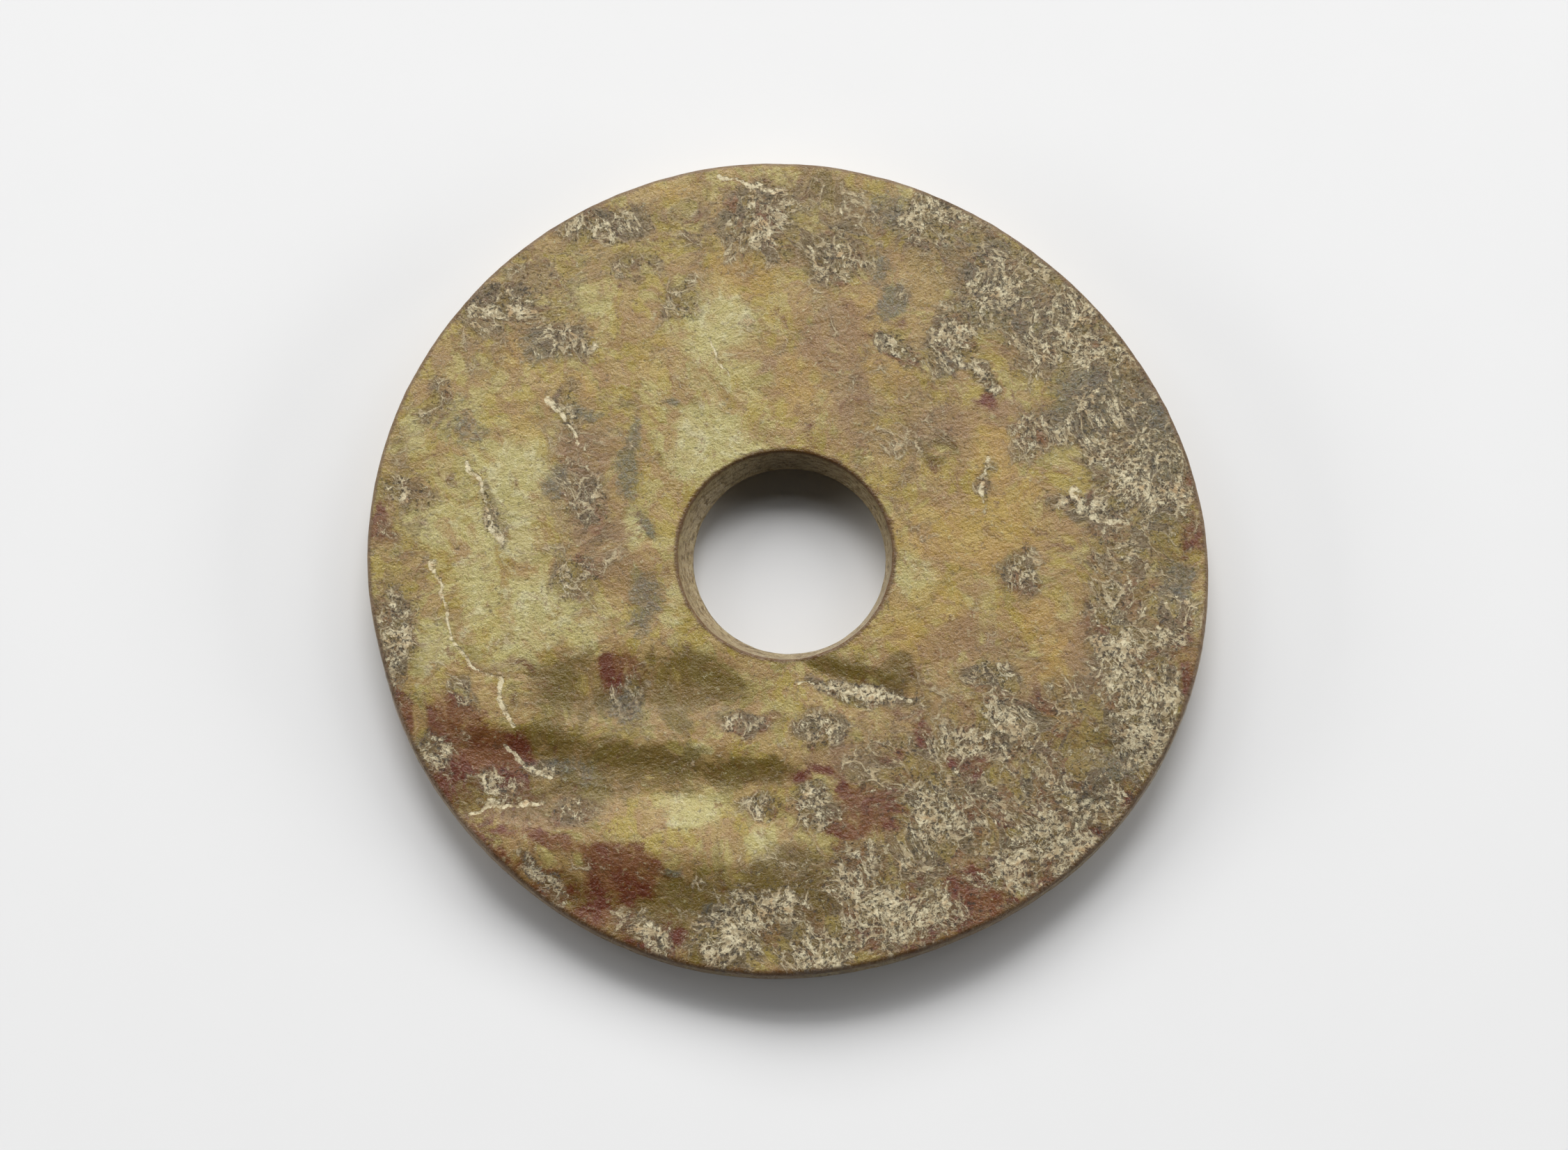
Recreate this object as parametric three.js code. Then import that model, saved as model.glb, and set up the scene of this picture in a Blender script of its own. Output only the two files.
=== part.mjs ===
// A jade bi: a flat ritual disc of nephrite with a round hole drilled through its middle.
// Millimetres, +Z up. It lies on its sawn underside, at z = 0, the middle of its footprint at the origin.
import * as THREE from "three";

// Sizes that drive the rest.
const RIM_RADIUS = 91.2; // where the rim is fullest
const THICKNESS = 10.5; // beside the hole, where the disc is thickest
const MOUTH_RADIUS = 23; // the hole in either face
const HOLE_CENTRE = new THREE.Vector2(-0.1, 0.7); // how far the mouths lie off the rim's centre
const WAIST_RADIUS = 20.7; // the hole's neck, where the drillings from the two faces meet
const WAIST_HEIGHT = 0.48 * THICKNESS;
const DRILLING_BULGE = 0.35; // how far a drilling's wall stands hollow of a straight cone
const DRILL_DRIFT = new THREE.Vector2(1, 0.1); // how far the neck lies off the mouths' axis
const ARRIS = 0.45; // the worn edge of each mouth
const SHOULDER = 0.9; // the rounding between the face and the rim
const RIM_SPREAD = 0.2; // the rim's swell, a little above half height
const HEEL = 2.6; // the rim's draw inwards at the underside
const FACE_FALL = 0.9; // how much lower the face lies at the rim than at the hole
const SEGMENTS = 112; // around the axis
const FACE_RINGS = 26; // across the upper face, from the hole to the shoulder
const TURN = 2 * Math.PI;

// Places where the rim was ground to a flatter arc: bearing from +X and half width in degrees, depth in mm.
const RIM_FLATS = [
  { bearing: 46, spread: 38, depth: 2.85 },
  { bearing: 208, spread: 50, depth: 2.2 },
  { bearing: 290, spread: 22, depth: 1.4 },
  { bearing: 194, spread: 8, depth: 0.5 },
];

// Hollows left by the cord saw across the lower half of the upper face. A wall falls towards -Y over
// `run`, to its foot on y = foot + lean x. The floor stays level to the seam, which lies on
// y = seam + lean x - bow (x - crown)^2, then rises over `back`. Each hollow dies out over `fade` on
// both sides of its west and east ends.
const UNDER_HOLE = {
  foot: -31.5, run: 13.5, lean: -0.02, seam: -32.5, bow: 0, crown: 0, back: 13,
  depth: 1.25, west: -47, east: -7, fade: 9,
};
const LEDGE = {
  foot: -23.5, run: 4.5, lean: -0.28, seam: -24, bow: 0, crown: 0, back: 22,
  depth: 0.75, west: 2, east: 27, fade: 7,
};
const TROUGH = {
  foot: -50.5, run: 8.5, lean: -0.11, seam: -54.6, bow: 0.0046, crown: -25, back: 12,
  depth: 1.6, west: -72, east: 0, fade: 9,
};
const SAW_HOLLOWS = [UNDER_HOLE, LEDGE, TROUGH];

// The fall of the face to the lower edge, from a crest at y = crest + lean x, by `depth` over `run`.
const EDGE_FALL = { crest: -66, lean: -0.11, run: 15, depth: 2.2, west: -80, east: -9, fade: 20 };

// Dips in the upper face: centre, half widths and depth in mm, and how far the dip is turned, in degrees.
const DIPS = [
  { x: 82, y: -3, wide: 4, long: 7, turn: 0, depth: 0.6 }, // a flake scar by the rim
  { x: 85, y: 3, wide: 6, long: 18, turn: 0, depth: 0.5 }, // the worn edge it lies in
  { x: 70, y: -43, wide: 3.5, long: 7, turn: 80, depth: 0.8 }, // a cleft by the rim
  { x: 71, y: -52, wide: 3.5, long: 6, turn: 20, depth: 0.6 }, // its second branch
  { x: 64, y: -63, wide: 9, long: 18, turn: -44, depth: 1.4 }, // the ground facet beyond it
  { x: -80, y: -42, wide: 7, long: 22, turn: 28, depth: 1.5 }, // the edge worn down on the -X side
  { x: -44, y: 34, wide: 12, long: 34, turn: 20, depth: 0.25 }, // a long dressing hollow
  { x: 30, y: 52, wide: 20, long: 34, turn: 62, depth: 0.2 }, // and a broader one
];

/** The rim's radius on a bearing, in radians from +X. */
function rimRadius(bearing) {
  return RIM_FLATS.reduce((radius, flat) => {
    const away = THREE.MathUtils.degToRad(flat.bearing) - bearing;
    const wrapped = away - TURN * Math.round(away / TURN);
    const share = wrapped / THREE.MathUtils.degToRad(flat.spread);
    return radius - flat.depth * Math.exp(-share * share);
  }, RIM_RADIUS);
}

/** How much of a hollow is left at x, between its west and east ends. */
function lasting(hollow, x) {
  const fromWest = THREE.MathUtils.smoothstep(x, hollow.west - hollow.fade, hollow.west + hollow.fade);
  const toEast = 1 - THREE.MathUtils.smoothstep(x, hollow.east - hollow.fade, hollow.east + hollow.fade);
  return fromWest * toEast;
}

/** How far one saw hollow lowers the upper face at (x, y). */
function hollowDepth(hollow, x, y) {
  const foot = hollow.foot + hollow.lean * x;
  const seam = hollow.seam + hollow.lean * x - hollow.bow * (x - hollow.crown) ** 2;
  const wall = 1 - THREE.MathUtils.smoothstep(y, foot, foot + hollow.run);
  const floor = THREE.MathUtils.clamp(1 + (y - seam) / hollow.back, 0, 1) ** 1.6;
  return hollow.depth * wall * floor * lasting(hollow, x);
}

/** How far the fall to the lower edge lowers the upper face at (x, y). */
function edgeFall(x, y) {
  const crest = EDGE_FALL.crest + EDGE_FALL.lean * x;
  const fallen = 1 - THREE.MathUtils.smoothstep(y, crest - EDGE_FALL.run, crest);
  return EDGE_FALL.depth * fallen * lasting(EDGE_FALL, x);
}

/** How far one dip lowers the upper face at (x, y). */
function dipDepth(dip, x, y) {
  const turn = THREE.MathUtils.degToRad(dip.turn);
  const across = ((x - dip.x) * Math.cos(turn) + (y - dip.y) * Math.sin(turn)) / dip.wide;
  const along = ((y - dip.y) * Math.cos(turn) - (x - dip.x) * Math.sin(turn)) / dip.long;
  return dip.depth * Math.exp(-(across * across + along * along));
}

/** The disc's thickness at (x, y): the sawn and dressed upper face over the flat underside. */
function thicknessAt(x, y) {
  const outward = (Math.hypot(x, y) - MOUTH_RADIUS) / (RIM_RADIUS - MOUTH_RADIUS);
  const lowered = FACE_FALL * THREE.MathUtils.clamp(outward, 0, 1) ** 2
    + SAW_HOLLOWS.reduce((sum, hollow) => sum + hollowDepth(hollow, x, y), 0)
    + edgeFall(x, y)
    + DIPS.reduce((sum, dip) => sum + dipDepth(dip, x, y), 0);
  return THICKNESS - lowered;
}

/** The hole's wall on one side of the neck, from the neck to the worn mouth at height `face`. */
function drilling(face) {
  const steps = [0.35, 0.7];
  const reach = face - WAIST_HEIGHT;
  const mouth = face - Math.sign(reach) * ARRIS;
  return [
    ...steps.map((t) => new THREE.Vector2(
      THREE.MathUtils.lerp(WAIST_RADIUS, MOUTH_RADIUS, t) + DRILLING_BULGE * Math.sin(Math.PI * t),
      THREE.MathUtils.lerp(WAIST_HEIGHT, mouth, t),
    )),
    new THREE.Vector2(MOUTH_RADIUS, mouth),
    new THREE.Vector2(MOUTH_RADIUS + ARRIS, face),
  ];
}

/** The closed section turned about the axis: neck, lower mouth, underside, rim, face, upper mouth. */
function section() {
  const shoulderStart = RIM_RADIUS - SHOULDER;
  const faceStart = MOUTH_RADIUS + ARRIS;
  const face = Array.from({ length: FACE_RINGS }, (_, ring) => new THREE.Vector2(
    THREE.MathUtils.lerp(faceStart, shoulderStart, (ring + 1) / FACE_RINGS),
    THICKNESS,
  ));
  const rim = [
    new THREE.Vector2(RIM_RADIUS - 0.3 * SHOULDER, THICKNESS - 0.3 * SHOULDER),
    new THREE.Vector2(RIM_RADIUS, THICKNESS - SHOULDER),
    new THREE.Vector2(RIM_RADIUS + RIM_SPREAD, 0.62 * THICKNESS),
    new THREE.Vector2(RIM_RADIUS - 0.3 * HEEL, 0.25 * THICKNESS),
    new THREE.Vector2(RIM_RADIUS - 0.62 * HEEL, 0.07 * THICKNESS),
    new THREE.Vector2(RIM_RADIUS - HEEL, 0),
  ];
  const neck = new THREE.Vector2(WAIST_RADIUS, WAIST_HEIGHT);
  const fromNeckUp = [...drilling(THICKNESS), ...face, ...rim, ...drilling(0).reverse()];
  return [neck, ...fromNeckUp.reverse(), neck.clone()];
}

/** Moves the turned blank's vertices to the worked stone: ground outline, drifted neck, sawn upper face. */
function work(geometry) {
  const place = geometry.getAttribute("position");
  for (let i = 0; i < place.count; i += 1) {
    const radius = Math.hypot(place.getX(i), place.getY(i));
    const bearing = Math.atan2(place.getY(i), place.getX(i));
    const outward = Math.max(0, radius - MOUTH_RADIUS) / (RIM_RADIUS - MOUTH_RADIUS);
    const inward = Math.max(0, MOUTH_RADIUS - radius) / (MOUTH_RADIUS - WAIST_RADIUS);
    const worked = radius + outward * (rimRadius(bearing) - RIM_RADIUS);
    const nearHole = 1 - Math.min(1, outward);
    const x = worked * Math.cos(bearing) + nearHole * HOLE_CENTRE.x + inward * DRILL_DRIFT.x;
    const y = worked * Math.sin(bearing) + nearHole * HOLE_CENTRE.y + inward * DRILL_DRIFT.y;
    place.setXYZ(i, x, y, place.getZ(i) * thicknessAt(x, y) / THICKNESS);
  }
  return geometry;
}

/** The disc, with its footprint's middle moved to the origin. */
function makeDisc() {
  const blank = new THREE.LatheGeometry(section(), SEGMENTS).rotateX(Math.PI / 2);
  const geometry = work(blank);
  geometry.computeBoundingBox();
  const middle = geometry.boundingBox.getCenter(new THREE.Vector3());
  geometry.translate(-middle.x, -middle.y, 0);
  geometry.computeVertexNormals();
  const jade = new THREE.MeshStandardMaterial({ color: 0x9a8a5c, roughness: 0.42, metalness: 0 });
  const disc = new THREE.Mesh(geometry, jade);
  disc.name = "bi_disc";
  return disc;
}

const bi = new THREE.Group();
bi.add(makeDisc());

export default bi;
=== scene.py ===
"""A jade bi lying on a pale floor: a drilled and sawn nephrite disc with its weathered crust.

Lengths are millimetres until a mesh is made, and metres from there on. +X is to the right of the
disc, +Y away from the camera and +Z up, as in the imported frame.
"""

from __future__ import annotations

import itertools
import logging
import math
from dataclasses import dataclass, field
from enum import Enum, IntEnum
from typing import Any, Union

import bpy
import numpy as np
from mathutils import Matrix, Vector


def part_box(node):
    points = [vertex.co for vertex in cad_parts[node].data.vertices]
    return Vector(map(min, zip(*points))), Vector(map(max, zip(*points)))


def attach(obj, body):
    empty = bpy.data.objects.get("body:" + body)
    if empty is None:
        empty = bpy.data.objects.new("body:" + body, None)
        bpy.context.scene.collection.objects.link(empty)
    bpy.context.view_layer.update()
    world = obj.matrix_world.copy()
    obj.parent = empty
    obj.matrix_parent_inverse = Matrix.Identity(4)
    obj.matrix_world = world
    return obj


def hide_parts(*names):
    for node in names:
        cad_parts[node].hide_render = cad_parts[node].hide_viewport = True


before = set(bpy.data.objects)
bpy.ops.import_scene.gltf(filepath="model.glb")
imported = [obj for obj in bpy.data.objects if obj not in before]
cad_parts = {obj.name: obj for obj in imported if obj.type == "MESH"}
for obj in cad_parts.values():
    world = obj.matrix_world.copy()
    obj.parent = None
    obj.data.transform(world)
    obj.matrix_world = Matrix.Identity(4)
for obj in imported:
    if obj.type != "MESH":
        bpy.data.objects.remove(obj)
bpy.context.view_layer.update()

MM = 0.001
TURN = 2.0 * math.pi
log = logging.getLogger("bi")

Colour = tuple[float, float, float]
Array = np.ndarray
Socket = bpy.types.NodeSocket


def paint(red: int, green: int, blue: int) -> Colour:
    """The linear colour of a paint given by its usual 0 to 255 screen values."""
    return tuple(
        part / 12.92 if part <= 0.04045 else ((part + 0.055) / 1.055) ** 2.4
        for part in (red / 255, green / 255, blue / 255)
    )


def ease(value: Array, low: float, high: float) -> Array:
    """A smooth rise from 0 at `low` to 1 at `high`."""
    share = np.clip((value - low) / (high - low), 0.0, 1.0)
    return share * share * (3.0 - 2.0 * share)


# ---- The worked stone: its section, its ground outline and its sawn upper face ----


class Region(IntEnum):
    """The part of the surface that a ring of the mesh belongs to."""

    FACE = 0
    RIM = 1
    UNDERSIDE = 2
    BORE = 3


@dataclass(frozen=True)
class RimFlat:
    """An arc of the rim that was ground flatter: bearing and half width in degrees, depth in mm."""

    bearing: float
    spread: float
    depth: float


@dataclass(frozen=True)
class SawHollow:
    """A hollow of the cord saw: a wall falling towards -Y to a foot, a floor and a rise back."""

    foot: float
    run: float
    lean: float
    seam: float
    bow: float
    crown: float
    back: float
    depth: float
    west: float
    east: float
    fade: float

    def seam_at(self, x: Array) -> Array:
        """The seam's y at x, where the floor begins to rise."""
        return self.seam + self.lean * x - self.bow * (x - self.crown) ** 2

    def lasting(self, x: Array) -> Array:
        """How much of the hollow is left at x, between its west and east ends."""
        from_west = ease(x, self.west - self.fade, self.west + self.fade)
        return from_west * (1.0 - ease(x, self.east - self.fade, self.east + self.fade))

    def drop(self, x: Array, y: Array) -> Array:
        """How far the hollow lowers the face at (x, y)."""
        foot = self.foot + self.lean * x
        wall = 1.0 - ease(y - foot, 0.0, self.run)
        floor = np.clip(1.0 + (y - self.seam_at(x)) / self.back, 0.0, 1.0) ** 1.6
        return self.depth * wall * floor * self.lasting(x)


@dataclass(frozen=True)
class Dip:
    """A shallow dip in the face: centre, half widths, turn in degrees and depth."""

    x: float
    y: float
    wide: float
    long: float
    turn: float
    depth: float

    def drop(self, x: Array, y: Array) -> Array:
        """How far the dip lowers the face at (x, y)."""
        turn = math.radians(self.turn)
        across = ((x - self.x) * math.cos(turn) + (y - self.y) * math.sin(turn)) / self.wide
        along = ((y - self.y) * math.cos(turn) - (x - self.x) * math.sin(turn)) / self.long
        return self.depth * np.exp(-(across * across + along * along))


@dataclass(frozen=True)
class WorkedBlank:
    """The disc's form, with the sizes that the CAD part has."""

    rim_radius: float = 91.2
    thickness: float = 10.5
    mouth_radius: float = 23.0
    hole_centre: tuple[float, float] = (-0.1, 0.7)
    waist_radius: float = 20.7
    waist_share: float = 0.48
    drilling_bulge: float = 0.35
    drill_drift: tuple[float, float] = (1.0, 0.1)
    arris: float = 0.45
    shoulder: float = 0.9
    rim_spread: float = 0.2
    heel: float = 2.6
    face_fall: float = 0.9
    flats: tuple[RimFlat, ...] = (
        RimFlat(46, 38, 2.85),
        RimFlat(208, 50, 2.2),
        RimFlat(290, 22, 1.4),
        RimFlat(194, 8, 0.5),
    )
    under_hole: SawHollow = SawHollow(-31.5, 13.5, -0.02, -32.5, 0, 0, 13, 1.25, -47, -7, 9)
    ledge: SawHollow = SawHollow(-23.5, 4.5, -0.28, -24, 0, 0, 22, 0.75, 2, 27, 7)
    trough: SawHollow = SawHollow(-50.5, 8.5, -0.11, -54.6, 0.0046, -25, 12, 1.6, -72, 0, 9)
    edge_crest: float = -66.0
    edge_lean: float = -0.11
    edge_run: float = 15.0
    edge_depth: float = 2.2
    edge_ends: tuple[float, float] = (-80.0, -9.0)
    edge_fade: float = 20.0
    dips: tuple[Dip, ...] = (
        Dip(82, -3, 4, 7, 0, 0.6),
        Dip(85, 3, 6, 18, 0, 0.5),
        Dip(70, -43, 3.5, 7, 80, 0.8),
        Dip(71, -52, 3.5, 6, 20, 0.6),
        Dip(64, -63, 9, 18, -44, 1.4),
        Dip(-80, -42, 7, 22, 28, 1.5),
        Dip(-44, 34, 12, 34, 20, 0.25),
        Dip(30, 52, 20, 34, 62, 0.2),
    )

    def rim_at(self, bearing: Array) -> Array:
        """The rim's radius on a bearing, in radians from +X."""
        radius = np.full_like(bearing, self.rim_radius)
        for flat in self.flats:
            away = math.radians(flat.bearing) - bearing
            wrapped = away - TURN * np.round(away / TURN)
            radius -= flat.depth * np.exp(-((wrapped / math.radians(flat.spread)) ** 2))
        return radius

    def edge_drop(self, x: Array, y: Array) -> Array:
        """How far the fall to the lower edge lowers the face at (x, y)."""
        west, east = self.edge_ends
        from_west = ease(x, west - self.edge_fade, west + self.edge_fade)
        to_east = 1.0 - ease(x, east - self.edge_fade, east + self.edge_fade)
        crest = self.edge_crest + self.edge_lean * x
        return self.edge_depth * (1.0 - ease(y - crest, -self.edge_run, 0.0)) * from_west * to_east

    def thickness_at(self, x: Array, y: Array) -> Array:
        """The disc's thickness at (x, y)."""
        outward = (np.hypot(x, y) - self.mouth_radius) / (self.rim_radius - self.mouth_radius)
        lowered = self.face_fall * np.clip(outward, 0.0, 1.0) ** 2 + self.edge_drop(x, y)
        for form in (self.under_hole, self.ledge, self.trough, *self.dips):
            lowered = lowered + form.drop(x, y)
        return self.thickness - lowered

    def worked(self, radius: Array, bearing: Array, height: Array) -> Array:
        """Takes points of the turned blank to the worked stone.

        Args:
            radius: each point's radius on the blank.
            bearing: its bearing, in radians from +X.
            height: its height on the blank.

        Returns:
            The points, one row of x, y, z each.
        """
        reach = self.rim_radius - self.mouth_radius
        outward = np.maximum(0.0, radius - self.mouth_radius) / reach
        inward = np.maximum(0.0, self.mouth_radius - radius) / (self.mouth_radius - self.waist_radius)
        ground = radius + outward * (self.rim_at(bearing) - self.rim_radius)
        near_hole = 1.0 - np.minimum(1.0, outward)
        x = ground * np.cos(bearing) + near_hole * self.hole_centre[0] + inward * self.drill_drift[0]
        y = ground * np.sin(bearing) + near_hole * self.hole_centre[1] + inward * self.drill_drift[1]
        return np.stack([x, y, height * self.thickness_at(x, y) / self.thickness], axis=1)


@dataclass(frozen=True)
class Station:
    """One ring's place on the section: radius and height, its region, and its vertex spacing."""

    radius: float
    height: float
    region: Region
    spacing: float


@dataclass(frozen=True)
class SectionPath:
    """The closed section that is swept into rings, with how finely each region is cut."""

    blank: WorkedBlank
    face_spacing: float = 0.605
    rim_spacing: float = 0.8
    bore_spacing: float = 0.5
    under_spacing: float = 1.6
    rim_rings: int = 13
    bore_rings: int = 10
    shoulder_rings: int = 3

    def drilling(self, face: float) -> list[Station]:
        """The bore's wall from its neck to one mouth, whose face lies at height `face`."""
        blank = self.blank
        neck = blank.waist_share * blank.thickness
        mouth = face - math.copysign(blank.arris, face - neck)
        stations = []
        for ring in range(1, self.bore_rings + 1):
            share = ring / self.bore_rings
            bulge = blank.drilling_bulge * math.sin(math.pi * share)
            radius = blank.waist_radius + (blank.mouth_radius - blank.waist_radius) * share + bulge
            stations.append(Station(radius, neck + (mouth - neck) * share, Region.BORE, self.bore_spacing))
        middle = blank.arris * (1.0 - math.sqrt(0.5))
        inset = math.copysign(middle, face - neck)
        stations.append(Station(blank.mouth_radius + middle, face - inset, Region.BORE, self.bore_spacing))
        return stations

    def face(self) -> list[Station]:
        """The upper face, from the worn mouth to the shoulder."""
        blank = self.blank
        start = blank.mouth_radius + blank.arris
        end = blank.rim_radius - blank.shoulder
        rings = round((end - start) / self.face_spacing)
        return [
            Station(start + (end - start) * ring / rings, blank.thickness, Region.FACE, self.face_spacing)
            for ring in range(rings + 1)
        ]

    def rim(self) -> list[Station]:
        """The shoulder and the rim's wall down to the heel."""
        blank = self.blank
        stations = []
        for ring in range(1, self.shoulder_rings + 1):
            turn = 0.5 * math.pi * ring / self.shoulder_rings
            radius = blank.rim_radius - blank.shoulder * (1.0 - math.sin(turn))
            height = blank.thickness - blank.shoulder * (1.0 - math.cos(turn))
            stations.append(Station(radius, height, Region.RIM, self.rim_spacing))
        heights = np.array([blank.thickness - blank.shoulder, 0.62 * blank.thickness,
                            0.25 * blank.thickness, 0.07 * blank.thickness, 0.0])
        insets = np.array([0.0, -blank.rim_spread, 0.3 * blank.heel, 0.62 * blank.heel, blank.heel])
        for ring in range(1, self.rim_rings + 1):
            height = heights[0] * (1.0 - ring / self.rim_rings)
            inset = float(np.interp(height, heights[::-1], insets[::-1]))
            stations.append(Station(blank.rim_radius - inset, height, Region.RIM, self.rim_spacing))
        return stations

    def underside(self) -> list[Station]:
        """The sawn underside, from the heel back to the bore's lower mouth."""
        blank = self.blank
        start = blank.rim_radius - blank.heel
        end = blank.mouth_radius + blank.arris
        rings = round((start - end) / self.under_spacing)
        return [
            Station(start + (end - start) * ring / rings, 0.0, Region.UNDERSIDE, self.under_spacing)
            for ring in range(1, rings + 1)
        ]

    def stations(self) -> list[Station]:
        """The whole closed path: neck, upper mouth, face, rim, underside, lower mouth."""
        blank = self.blank
        neck = Station(blank.waist_radius, blank.waist_share * blank.thickness, Region.BORE,
                       self.bore_spacing)
        upper = self.drilling(blank.thickness)
        lower = self.drilling(0.0)
        return [neck, *upper, *self.face(), *self.rim(), *self.underside(), *reversed(lower)]


# ---- Relief and minerals ----


class Grain:
    """Smooth seeded noise in space, between -1 and 1."""

    CELLS = 64

    def __init__(self, seed: int) -> None:
        """Draws the lattice of values from one seed."""
        self.lattice = np.random.default_rng(seed).uniform(-1.0, 1.0, (self.CELLS,) * 3)

    def at(self, points: Array, size: float,
           stretch: tuple[float, float, float] = (1, 1, 1)) -> Array:
        """The noise at some points.

        Args:
            points: rows of x, y, z in mm.
            size: the size of one lump in mm.
            stretch: how much longer a lump is along each axis.

        Returns:
            One value a point.
        """
        spots = points / (size * np.array(stretch))
        cell = np.floor(spots).astype(int)
        part = spots - cell
        part = part * part * (3.0 - 2.0 * part)
        total = np.zeros(len(points))
        for corner in itertools.product((0, 1), repeat=3):
            weight = np.prod(np.where(corner, part, 1.0 - part), axis=1)
            index = (cell + corner) % self.CELLS
            total += weight * self.lattice[index[:, 0], index[:, 1], index[:, 2]]
        return total


@dataclass(frozen=True)
class Patch:
    """An oval patch of one mineral on the face: centre, half sizes, strength and turn in degrees."""

    x: float
    y: float
    half_x: float
    half_y: float
    strength: float
    turn: float = 0.0

    def cover(self, x: Array, y: Array) -> Array:
        """How strongly the patch covers each place, with a soft edge."""
        turn = math.radians(self.turn)
        along = ((x - self.x) * math.cos(turn) + (y - self.y) * math.sin(turn)) / self.half_x
        across = ((y - self.y) * math.cos(turn) - (x - self.x) * math.sin(turn)) / self.half_y
        return self.strength * (1.0 - ease(np.hypot(along, across), 0.45, 1.45))


class Mineral(Enum):
    """The stone's colours and growths, each carried by one attribute of the mesh; the olive one is also
    painted shade on the slopes that face away from the light.
    """

    CELADON = "celadon"
    OCHRE = "ochre"
    # Olive: a real olive stain, and also painted shade on the sawn slopes that face away from the light.
    OLIVE_AND_SLOPE_SHADE = "olive_and_slope_shade"
    SMOKE = "smoke"
    MAUVE = "mauve"
    RUSSET = "russet"
    LACE = "lace"


def patches(*rows: tuple[float, ...]) -> tuple[Patch, ...]:
    """Makes patches from rows of x, y, half sizes, strength and, where it matters, turn."""
    return tuple(Patch(*row) for row in rows)


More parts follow.
